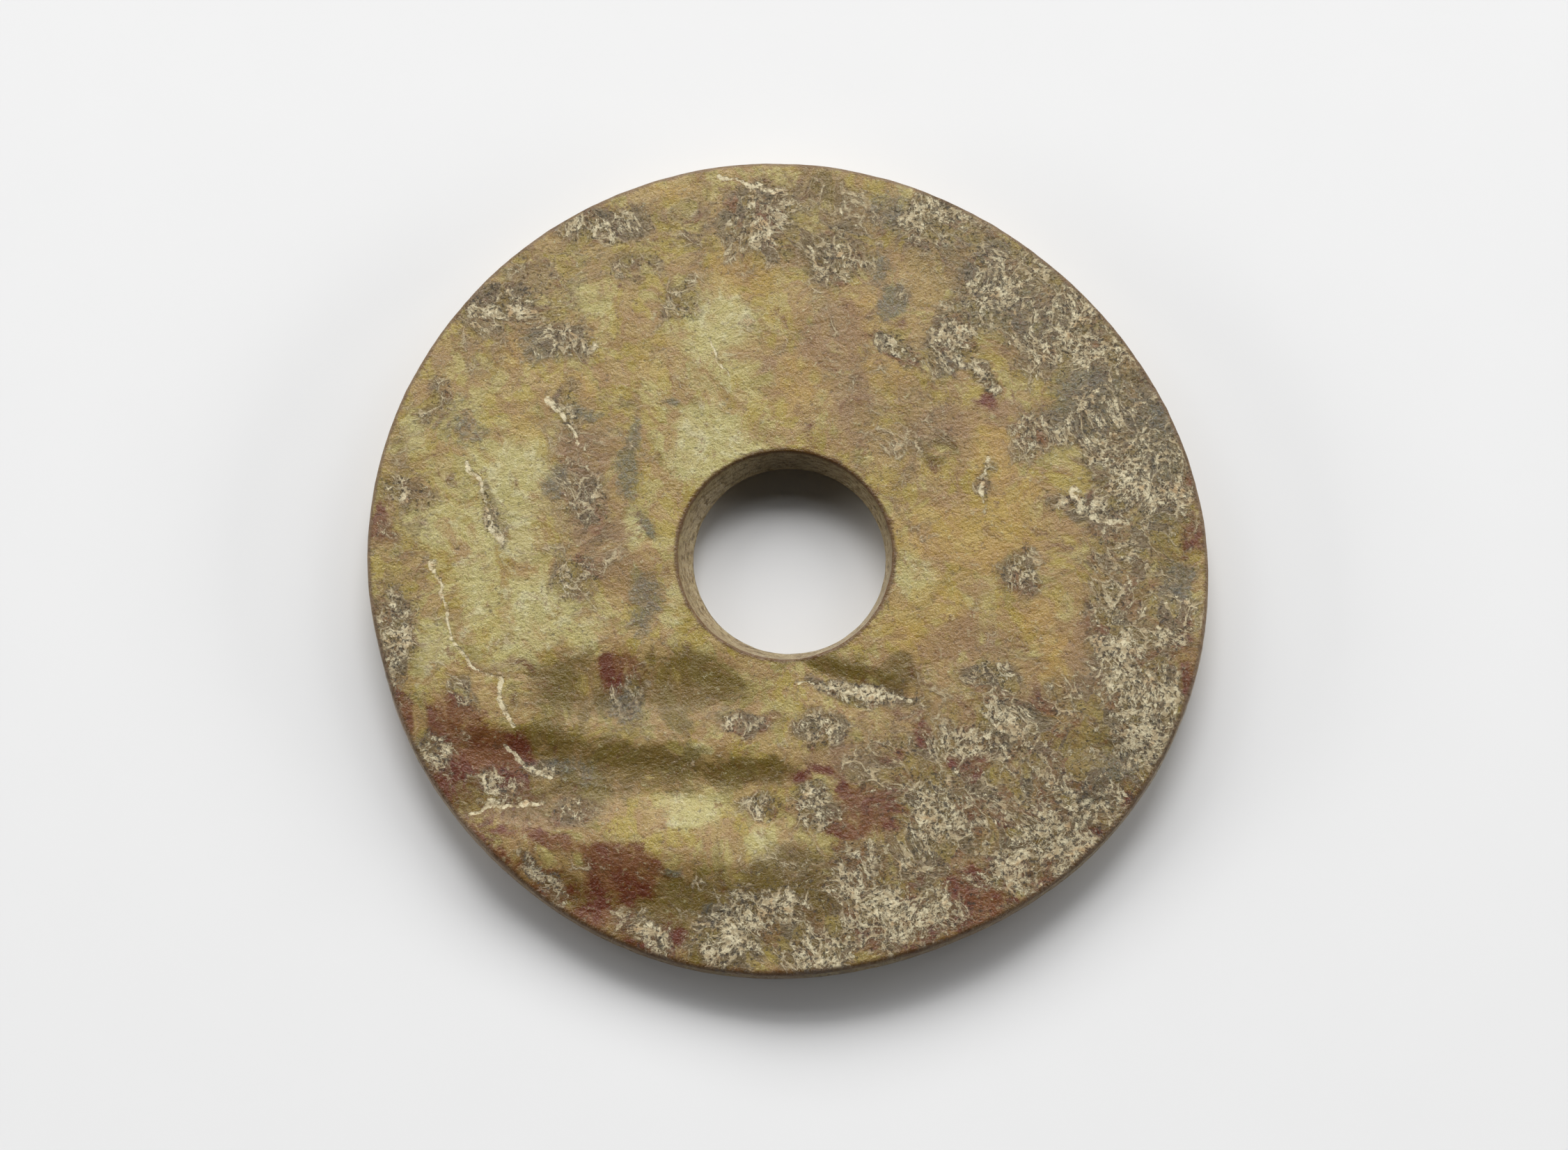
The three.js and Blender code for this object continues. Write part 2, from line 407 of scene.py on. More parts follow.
DEPOSITS: dict[Mineral, tuple[Patch, ...]] = {
    Mineral.CELADON: patches(
        (-60, 8, 18, 30, .3), (-18, 35, 16, 22, .3),
        (-15, 53, 8, 8, .9), (-15, 25, 10, 8, .9), (-60, 17, 8, 8, .9), (-60, 5, 8, 6, .8),
        (-80, 28, 5, 6, .6), (-43, 58, 5, 5, .6), (-75, 8, 8, 6, .6), (-33, 6, 3, 4, .9),
        (-52, -10, 8, 6, .8), (-57, -20, 8, 6, .6), (-45, -17, 6, 5, .7), (-66, -8, 4, 8, .7),
        (-75, -20, 6, 8, .7), (-23, -12, 3, 5, .8), (-18, -42, 4, 2, .9), (-20, -54, 8, 5, .9),
        (-5, -63, 5, 4, .8), (28, -5, 5, 6, .8),
    ),
    Mineral.OCHRE: patches(
        (30, 0, 26, 30, .3), (6, 50, 18, 14, .25),
        (-10, 65, 9, 7, .8), (-58, 45, 6, 5, .6), (-45, 38, 4, 3, .7), (-57, 30, 4, 6, .6),
        (-25, 85, 6, 3, .5), (-28, 45, 5, 6, .5), (17, 54, 5, 5, .9), (22, 43, 6, 4, .8),
        (3, 40, 7, 7, .7), (45, 25, 6, 8, .8), (50, 16, 6, 5, .7), (45, 5, 10, 8, .8),
        (32, 5, 6, 6, .6), (73, 47, 4, 3, .8), (57, -22, 5, 7, .95), (53, -12, 5, 4, .9),
        (57, -35, 5, 3, .85), (30, -15, 10, 8, .5), (47, -46, 4, 3, .7), (62, -38, 3, 3, .7),
    ),
    # Olive patches: partly the olive stain, and partly painted shade below the hole, along the saw trough and
    # in the lower middle, where the slopes face away from the light.
    Mineral.OLIVE_AND_SLOPE_SHADE: patches(
        (-35, -32, 26, 10, .45), (-18, -75, 28, 12, .45), (-50, -50, 26, 6, .6), (-15, -48, 22, 4, .6),
        (-72, -56, 14, 8, .5, -50), (-30, -86, 16, 4, .6, -18), (50, -70, 22, 8, .4, 35),
        (-45, -28, 10, 6, .8), (-20, -28, 10, 7, .8), (-50, -40, 8, 4, .9), (-30, -43, 15, 3, .9),
        (-5, -47, 9, 3, .9), (-25, -74, 12, 5, .9), (-44, -72, 7, 4, .8), (0, -70, 10, 8, .8),
        (-18, -87, 6, 3, .6), (12, -22, 10, 2.5, .8, -12), (23, -26, 5, 4, .8), (5, -76, 6, 4, .8),
        (6, 69, 4, 4, .8), (10, 84, 6, 3, .6), (34, 25, 5, 3, .6), (75, 41, 5, 3, .7),
    ),
    Mineral.SMOKE: patches(
        (72, 25, 14, 28, .35, 12), (48, 66, 24, 12, .35, -40), (72, -40, 14, 24, .3, -20),
        (-49, 16, 3.5, 5, .95, 20), (-34, 22, 2.5, 11, .8), (-29, 7, 2, 4, .7, 45),
        (-43, 33, 4, 2, .7), (-54, 46, 4, 5, .7), (-68, 28, 4, 5, .6), (-72, 33, 4, 5, .4),
        (-25, 34, 1.5, 1.5, .8), (-30, -10, 5, 7, .7), (-34, -32, 5, 4, .7), (-22, -68, 3, 1.5, .9),
        (-45, -46, 8, 3, .6), (-14, -78, 4, 3, .8), (23, 58, 3, 4, .9, -30), (22, 80, 6, 6, .6),
        (20, 65, 3, 5, .7), (35, 45, 3, 4, .6), (45, 70, 4, 4, .6), (60, 68, 4, 3, .6),
        (66, 35, 8, 9, .8), (80, 28, 6, 8, .8), (80, 14, 5, 6, .6), (50, 55, 12, 8, .5),
        (70, -45, 4, 4, .9), (84, -5, 4, 5, .7),
    ),
    Mineral.MAUVE: patches(
        (18, 42, 22, 24, .35), (42, -38, 34, 22, .45), (-42, 18, 9, 24, .35), (62, 0, 14, 22, .35),
        (-45, 24, 7, 8, .6), (-41, 8, 6, 7, .6), (-5, 75, 8, 8, .6), (-4, 43, 3, 3, .7),
        (15, 35, 5, 10, .5), (10, 50, 8, 8, .6), (35, 30, 8, 5, .6), (47, 33, 5, 5, .7),
        (68, 8, 4, 4, .7), (-35, -3, 8, 6, .6), (-50, -55, 12, 5, .8), (-10, -36, 9, 4, .6),
        (-62, -24, 6, 3, .5), (38, -18, 10, 6, .6), (65, -20, 6, 8, .6), (75, -10, 5, 7, .6),
        (12, -45, 10, 5, .6), (35, -42, 10, 4, .6), (33, -66, 5, 4, .8),
    ),
    Mineral.RUSSET: patches(
        (-66, -44, 16, 12, .4, -45), (-40, -76, 26, 8, .45, -25), (38, -74, 30, 8, .4, 22),
        (-84, -34, 4, 9, .8), (-77, -50, 4, 10, .9, 35), (-64, -65, 11, 4, .9, -46),
        (-48, -78, 10, 4, .9, -32), (-28, -87, 11, 3, .8, -18), (2, -91, 18, 3, .85),
        (34, -85, 14, 3.5, .9, 22), (56, -73, 10, 3.5, .8, 38), (-35, -66, 8, 5, .7), (86, -24, 3, 14, .6, 0),
        (-86, 6, 3, 5, .7), (45, 35, 3, 4, .7), (87, 19, 2.5, 3, .9), (88, 5, 4, 6, .6),
        (-62, -44, 9, 6, .95), (-70, -36, 6, 5, .7), (-35, -24, 5, 5, .8), (-82, -34, 4, 6, .8),
        (-48, -62, 12, 2.5, .8, -15), (-32, -68, 8, 5, .9), (-42, -78, 5, 3, .9),
        (18, -55, 8, 6, .9), (12, -59, 4, 2, .9), (28, -38, 3, 4, .7), (22, -42, 4, 3, .6),
        (5, -48, 6, 2, .7), (38, -46, 6, 3, .7), (38, -72, 5, 4, .95), (42, -77, 5, 3, .95),
        (48, -57, 4, 2, .9), (73, -54, 3, 3, .8), (64, -61, 3, 3, .7), (54, -52, 2, 3, .8),
    ),
    Mineral.LACE: patches(
        (58, 54, 34, 16, .45, -45), (76, 0, 13, 42, .5), (66, -48, 22, 28, .5, -35), (15, -76, 34, 14, .5),
        (34, -48, 24, 18, .45), (0, 76, 38, 12, .35), (-56, 58, 22, 12, .35, 45), (-82, 0, 7, 36, .3),
        (24, 32, 16, 26, .25), (-44, 12, 8, 26, .25),
        (-40, 77, 10, 4, .8), (-33, 66, 6, 4, .5), (-62, 57, 8, 5, .9), (-48, 48, 7, 5, .6),
        (-5, 76, 8, 8, .7), (-22, 58, 4, 4, .6), (-81, 15, 5, 4, .5), (-76, 35, 3, 6, .5),
        (-64, 9, 2.5, 8, .6, 15), (-47, 33, 3, 5, .6), (-42, 12, 4, 6, .5), (32, 78, 8, 6, .8),
        (45, 63, 6, 10, .7), (63, 57, 8, 5, .9), (64, 48, 10, 5, .9), (36, 50, 6, 7, .9),
        (24, 49, 6, 2.5, .95, -35), (43, 40, 6, 2, .95, -35), (68, 28, 6, 8, .9),
        (75, 18, 6, 6, .9), (55, 28, 6, 6, .8), (65, 12, 8, 3, .9), (44, 18, 2, 5, .6),
        (12, 68, 6, 7, .75), (84, 18, 4, 8, .75), (-84, -18, 4, 11, .95),
        (-74, -42, 3.5, 6, .95, 30), (-62, -50, 7, 3, .75), (-68, -31, 3, 4, .6),
        (-52, -46, 8, 2.5, .6), (-34, -30, 5, 4, .75), (-51, -70, 6, 2, .9, -40),
        (-30, -80, 7, 4, .9, -30), (-12, -82, 8, 6, .95), (-5, -76, 6, 5, .85), (-10, -36, 6, 3, .7),
        (-4, -55, 4, 3, .9), (-45, -55, 6, 4, .6), (-45, -5, 4, 5, .6), (15, -28, 12, 2.5, .95, -15),
        (8, -37, 7, 5, .7), (43, -27, 6, 4, .8), (48, -34, 7, 4, .8), (40, -40, 10, 3.5, .85),
        (33, -57, 8, 8, .95), (6, -55, 5, 5, .95), (15, -68, 6, 6, .85), (20, -78, 8, 6, .9),
        (8, -85, 8, 4, .9), (33, -76, 6, 4, .8), (48, -68, 7, 6, .9), (58, -62, 8, 6, .95),
        (64, -52, 7, 6, .95), (75, -38, 5, 8, .9), (72, -25, 5, 9, .9), (80, -30, 4, 9, .85),
        (68, -15, 5, 8, .6), (83, -15, 4, 6, .6), (50, -3, 4, 5, .7),
    ),
}


@dataclass(frozen=True)
class Vein:
    """A thin cream vein: the points it runs through, and its half width in mm."""

    points: tuple[tuple[float, float], ...]
    half_width: float

    def away(self, x: Array, y: Array) -> Array:
        """Each place's distance to the vein, less its half width."""
        best = np.full_like(x, 1e6)
        for (x0, y0), (x1, y1) in zip(self.points, self.points[1:]):
            run_x, run_y = x1 - x0, y1 - y0
            share = ((x - x0) * run_x + (y - y0) * run_y) / (run_x * run_x + run_y * run_y)
            share = np.clip(share, 0.0, 1.0)
            best = np.minimum(best, np.hypot(x - x0 - share * run_x, y - y0 - share * run_y))
        return best - self.half_width


VEINS = (
    Vein(((-15, 88), (-9, 85), (0, 83)), 0.5),
    Vein(((-51, 37), (-47, 30), (-44, 26)), 0.35),
    Vein(((-17, 50), (-14, 44), (-11, 40)), 0.3),
    Vein(((63, 17), (64, 10), (72, 8)), 0.5),
    Vein(((44, 23), (44, 14)), 0.4),
    Vein(((-76, -2), (-72, -15), (-69, -22), (-62, -26), (-60, -30), (-57, -36)), 0.4),
    Vein(((-60, -41), (-55, -46), (-50, -48)), 0.5),
    Vein(((-67, -55), (-60, -53), (-51, -51.5)), 0.35),
    Vein(((-69, 20), (-65, 10), (-62, 2)), 0.4),
    Vein(((3, -26), (12, -27), (25, -31)), 0.45),
)


@dataclass
class SurfaceRelief:
    """The fine relief of the dressed and weathered stone, and the maps of its minerals.

    Args:
        seed: draws every noise.
        dressing: depth in mm of the shallow scoops that the dressing left.
        crust_pit: depth in mm of the pits in the crust.
    """

    seed: int = 7
    dressing: float = 0.10
    crust_pit: float = 0.10
    grain: Grain = field(init=False)
    drift: Grain = field(init=False)

    def __post_init__(self) -> None:
        """Draws the two noises."""
        self.grain = Grain(self.seed)
        self.drift = Grain(self.seed + 1)

    def wandering(self, points: Array) -> tuple[Array, Array]:
        """Where each point is looked up, so that patches get ragged outlines."""
        shift = [
            2.2 * self.drift.at(points + offset, 8.0) + 1.1 * self.grain.at(points + offset, 2.6)
            for offset in (11.0, 47.0)
        ]
        return points[:, 0] + shift[0], points[:, 1] + shift[1]

    def minerals(self, points: Array, region: Array) -> dict[str, Array]:
        """The strength of each mineral at each point.

        Args:
            points: the smooth stone's points.
            region: each point's Region.

        Returns:
            One array of 0 to 1 values a mineral.
        """
        x, y = self.wandering(points)
        under = region == Region.UNDERSIDE
        x = np.where(under, -x * 0.8 - 9.0, x)
        maps = {}
        for mineral, spots in DEPOSITS.items():
            bare = np.ones(len(points))
            for spot in spots:
                bare *= 1.0 - spot.cover(x, y)
            maps[mineral.value] = 1.0 - bare
        near = np.full(len(points), 9.0)
        for vein in VEINS:
            near = np.minimum(near, vein.away(x, y))
        maps["vein"] = np.where(under, 0.0, 1.0 - np.clip(near / 3.0, 0.0, 1.0))
        return maps

    def height(self, points: Array, maps: dict[str, Array], region: Array) -> Array:
        """How far the fine relief stands out at each point.

        Args:
            points: the smooth stone's points.
            maps: the minerals' strengths.
            region: each point's Region.

        Returns:
            One height in mm a point.
        """
        grain, drift = self.grain, self.drift
        scoops = grain.at(points, 9.0) + 0.55 * drift.at(points, 4.2)
        scoops -= 0.5 * np.abs(grain.at(points + 31.0, 3.0))
        ripple = drift.at(points, 1.9, (1.5, 1.0, 1.0)) + 0.6 * grain.at(points + 5.0, 1.25)
        crust = maps["lace"]
        rough = np.abs(drift.at(points + 17.0, 1.5)) + 0.7 * grain.at(points + 77.0, 1.1)
        height = self.dressing * (scoops + 0.3 * ripple) - self.crust_pit * crust * rough
        on_wall = (region == Region.RIM) | (region == Region.BORE)
        return np.where(on_wall, 0.07 * scoops + 0.05 * ripple, height)


# ---- The disc's mesh ----


@dataclass
class JadeDisc:
    """The bi itself: one carved stone, as one dense mesh in the CAD piece's form."""

    blank: WorkedBlank
    relief: SurfaceRelief
    node: str = "bi_disc"
    name: str = "jade_disc"

    def rings(self) -> tuple[Array, Array, Array, Array]:
        """The smooth stone as rings of points.

        Returns:
            The points, each point's ring, the first point of each ring, and the count in each.
        """
        stations = SectionPath(self.blank).stations()
        counts = [max(24, round(TURN * spot.radius / spot.spacing)) for spot in stations]
        starts = np.concatenate([[0], np.cumsum(counts)])
        rows = []
        for spot, count in zip(stations, counts):
            bearing = TURN * np.arange(count) / count
            rows.append(self.blank.worked(
                np.full(count, spot.radius), bearing, np.full(count, spot.height)))
        ring = np.repeat(np.arange(len(stations)), counts)
        return np.concatenate(rows), ring, starts, np.array(counts)

    @staticmethod
    def stitch(count_a: int, count_b: int) -> tuple[Array, Array]:
        """Joins two rings of points with triangles.

        Args:
            count_a: how many points the first ring has.
            count_b: how many the second has.

        Returns:
            For each corner of each triangle, its ring (0 or 1) and its unwrapped place on it.
        """
        a_edge = np.arange(count_a)
        b_edge = np.arange(count_b)
        b_meet = -((count_a - (2 * a_edge + 1) * count_b) // (2 * count_a))
        a_meet = ((2 * b_edge + 1) * count_a + count_b) // (2 * count_b)
        from_a = np.stack([a_edge, a_edge + 1, b_meet], axis=1)
        from_b = np.stack([b_edge + 1, b_edge, a_meet], axis=1)
        place = np.concatenate([from_a, from_b])
        ring = np.concatenate([np.tile([0, 0, 1], (count_a, 1)), np.tile([1, 1, 0], (count_b, 1))])
        return ring, place

    def faces(self, starts: Array, counts: Array) -> Array:
        """All the triangles between neighbouring rings, the last ring joined to the first.

        Args:
            starts: the first point of each ring.
            counts: how many points each ring has.

        Returns:
            One row of three points a triangle.
        """
        corners = []
        for first in range(len(counts)):
            pair = np.array([first, (first + 1) % len(counts)])
            side, place = self.stitch(int(counts[pair[0]]), int(counts[pair[1]]))
            ring = pair[side]
            corners.append(starts[ring] + place % counts[ring])
        return np.concatenate(corners)

    def outward(self, points: Array, corners: Array) -> Array:
        """The unit normal at each point, from its triangles."""
        a, b, c = (points[corners[:, k]] for k in range(3))
        across = np.cross(b - a, c - a)
        normal = np.zeros_like(points)
        for k in range(3):
            np.add.at(normal, corners[:, k], across)
        return normal / np.maximum(np.linalg.norm(normal, axis=1, keepdims=True), 1e-12)

    def build(self) -> bpy.types.Object:
        """Makes the mesh object.

        Returns:
            The disc, with its mineral maps as attributes.
        """
        points, ring, starts, counts = self.rings()
        corners = self.faces(starts, counts)
        stations = SectionPath(self.blank).stations()
        region = np.array([int(spot.region) for spot in stations])[ring]
        maps = self.relief.minerals(points, region)
        normal = self.outward(points, corners)
        height = self.relief.height(points, maps, region)
        height = np.where(region == Region.UNDERSIDE, -np.abs(height), height)
        edges = self.edges(ring, stations)
        middle = 0.5 * (points.min(axis=0) + points.max(axis=0))
        stone = points + normal * height[:, None]
        box_low, box_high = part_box(self.node)
        target = 0.5 * (np.array(box_low) + np.array(box_high)) / MM
        stone[:, :2] += target[:2] - middle[:2]
        stone[:, 2] = np.maximum(stone[:, 2], 0.0)
        piece = self.to_object(stone * MM, corners)
        for name, values in {**maps, **edges}.items():
            layer = piece.data.attributes.new(name, "FLOAT", "POINT")
            layer.data.foreach_set("value", values.astype(np.float32))
        log.info("%s: %d triangles", self.name, len(corners))
        return piece

    def edges(self, ring: Array, stations: list[Station]) -> dict[str, Array]:
        """How near each point is to the rim's edge and to the bore's mouth, and what is wall.

        Args:
            ring: each point's ring.
            stations: the rings' places on the section.

        Returns:
            One array of 0 to 1 values a map.
        """
        blank = self.blank
        radius = np.array([spot.radius for spot in stations])[ring]
        height = np.array([spot.height for spot in stations])[ring]
        region = np.array([int(spot.region) for spot in stations])[ring]
        to_edge = np.hypot(radius - blank.rim_radius + 0.3, height - blank.thickness + 0.3)
        to_lip = np.hypot(radius - blank.mouth_radius - 0.15, height - blank.thickness + 0.15)
        return {
            "edge": 1.0 - np.clip(to_edge / 4.0, 0.0, 1.0),
            "lip": 1.0 - np.clip(to_lip / 3.0, 0.0, 1.0),
            "bore": (region == Region.BORE).astype(float) * (1.0 - np.clip(1.0 - to_lip, 0, 1)),
            "side": (region == Region.RIM).astype(float),
        }

    def to_object(self, points: Array, corners: Array) -> bpy.types.Object:
        """Puts points and triangles into a new smooth mesh object."""
        mesh = bpy.data.meshes.new(self.name)
        mesh.vertices.add(len(points))
        mesh.vertices.foreach_set("co", points.ravel())
        mesh.loops.add(corners.size)
        mesh.loops.foreach_set("vertex_index", corners.ravel())
        mesh.polygons.add(len(corners))
        mesh.polygons.foreach_set("loop_start", np.arange(0, corners.size, 3))
        mesh.update(calc_edges=True)
        mesh.validate()
        mesh.shade_smooth()
        piece = bpy.data.objects.new(self.name, mesh)
        bpy.context.scene.collection.objects.link(piece)
        return piece


# ---- Shader tools ----

Number = Union["Reading", float, int]
Tint = Union[Socket, Colour]


class Reading:
    """A number that varies over a surface, as a socket that Python arithmetic adds nodes to."""

    def __init__(self, bench: Bench, socket: Socket) -> None:
        """Wraps one socket of the bench's material."""
        self.bench = bench
        self.socket = socket

    def math(self, operation: str, *others: Number) -> Reading:
        """One Math node on this value and others."""
        return self.bench.math(operation, self, *others)

    def __add__(self, other: Number) -> Reading:
        """This plus another."""
        return self.math("ADD", other)

    __radd__ = __add__

    def __sub__(self, other: Number) -> Reading:
        """This less another."""
        return self.math("SUBTRACT", other)

    def __rsub__(self, other: Number) -> Reading:
        """Another less this."""
        return self.bench.math("SUBTRACT", other, self)

    def __mul__(self, other: Number) -> Reading:
        """This times another."""
        return self.math("MULTIPLY", other)

    __rmul__ = __mul__

    def __abs__(self) -> Reading:
        """This without its sign."""
        return self.math("ABSOLUTE")

    def up_to(self, other: Number) -> Reading:
        """The smaller of this and another."""
        return self.math("MINIMUM", other)

    def at_least(self, other: Number) -> Reading:
        """The larger of this and another."""
        return self.math("MAXIMUM", other)

    def rise(self, low: float, high: float) -> Reading:
        """A smooth rise from 0 at `low` to 1 at `high`, or a fall where `low` is the larger."""
        node = self.bench.node(
            "ShaderNodeMapRange",
            {"interpolation_type": "SMOOTHSTEP"},
            {"Value": self, "From Min": min(low, high), "From Max": max(low, high),
             "To Min": float(low > high), "To Max": float(low < high)},
        )
        return Reading(self.bench, node.outputs["Result"])


class Bench:
    """The node tree of one material, and the few ways in which its nodes are made."""

    def __init__(self, name: str) -> None:
        """Starts a material with only its output."""
        self.material = bpy.data.materials.new(name)
        self.material.use_nodes = True
        self.tree = self.material.node_tree
        self.tree.nodes.clear()

    def node(self, kind: str, settings: dict[str, Any], sockets: dict[Any, Any]) -> bpy.types.Node:
        """Makes one node.

        Args:
            kind: the node's type.
            settings: its properties, set first.
            sockets: a value, socket or Reading for each input, by name or number.

        Returns:
            The node.
        """
        node = self.tree.nodes.new(kind)
        for key, value in settings.items():
            setattr(node, key, value)
        for key, value in sockets.items():
            target = node.inputs[key]
            if isinstance(value, Reading):
                self.tree.links.new(value.socket, target)
            elif isinstance(value, Socket):
                self.tree.links.new(value, target)
            elif target.type == "RGBA":
                target.default_value = (*value, 1.0)
            else:
                target.default_value = value
        return node

    def math(self, operation: str, *values: Number) -> Reading:
        """One Math node."""
        node = self.node("ShaderNodeMath", {"operation": operation}, dict(enumerate(values)))
        return Reading(self, node.outputs[0])

    def vector(self, operation: str, *values: Any, scale: float | None = None) -> Socket:
        """One Vector Math node, with the scale where the operation is SCALE."""
        sockets: dict[Any, Any] = dict(enumerate(values))
        if scale is not None:
            sockets["Scale"] = scale
        return self.node("ShaderNodeVectorMath", {"operation": operation}, sockets).outputs[0]

    def mix(self, first: Tint, second: Tint, share: Number, how: str = "MIX") -> Socket:
        """Blends a second colour over a first one by `share`."""
        node = self.node("ShaderNodeMix", {"data_type": "RGBA", "blend_type": how},
                         {0: share, 6: first, 7: second})
        return node.outputs[2]

    def layered(self, base: Tint, layers: list[tuple[Tint, Number]]) -> Socket:
        """Lays tints over a base, one after another.

        Args:
            base: the tint underneath.
            layers: each tint above it, and its share.

        Returns:
            The blended colour.
        """
        for tint, share in layers:
            base = self.mix(base, tint, share)
        return base

    def attribute(self, name: str) -> Reading:
        """One of the mesh's maps."""
        node = self.node("ShaderNodeAttribute", {"attribute_name": name}, {})
        return Reading(self, node.outputs["Fac"])

    def noise(self, place: Socket, size: float, detail: float = 2.0,
              rough: float = 0.5) -> Reading:
        """Cloudy noise about 0.5, with lumps of `size` mm."""
        node = self.node("ShaderNodeTexNoise", {"noise_dimensions": "3D"},
                         {"Vector": place, "Scale": 1.0 / size, "Detail": detail,
                          "Roughness": rough})
        return Reading(self, node.outputs[0])

    def cell_gap(self, place: Socket, size: float) -> Reading:
        """The distance to the nearest wall between cells of `size` mm, as a share of that size."""
        node = self.node("ShaderNodeTexVoronoi", {"feature": "DISTANCE_TO_EDGE"},
                         {"Vector": place, "Scale": 1.0 / size})
        return Reading(self, node.outputs["Distance"])

    def finish(self, shader: bpy.types.Node) -> bpy.types.Material:
        """Joins a shader to the output and gives the material back."""
        self.node("ShaderNodeOutputMaterial", {}, {"Surface": shader.outputs[0]})
        return self.material


@dataclass(frozen=True)
class StoneGrain:
    """The noises that every layer of the stone shares.

    Args:
        place: where the surface is, in mm.
        bent: the same, bent slowly so that nothing runs straight.
        torn: the bent place with ragged edges, drawn out along the stone's bedding.
        cloud: clouds of 5 to 9 mm.
        mottle: mottling of 3 mm.
        grain: ragged grain of 1 mm.
        fine: specks under 1 mm.
        hue: drifts of warmer and greener stone.
        clast: a value of its own for each of the stone's clasts.
        gap: how far a place is from the gap between two clasts.
    """

    place: Socket
    bent: Socket
    torn: Socket
    cloud: Reading
    mottle: Reading
    grain: Reading
    fine: Reading
    hue: Reading
    clast: Reading
    gap: Reading


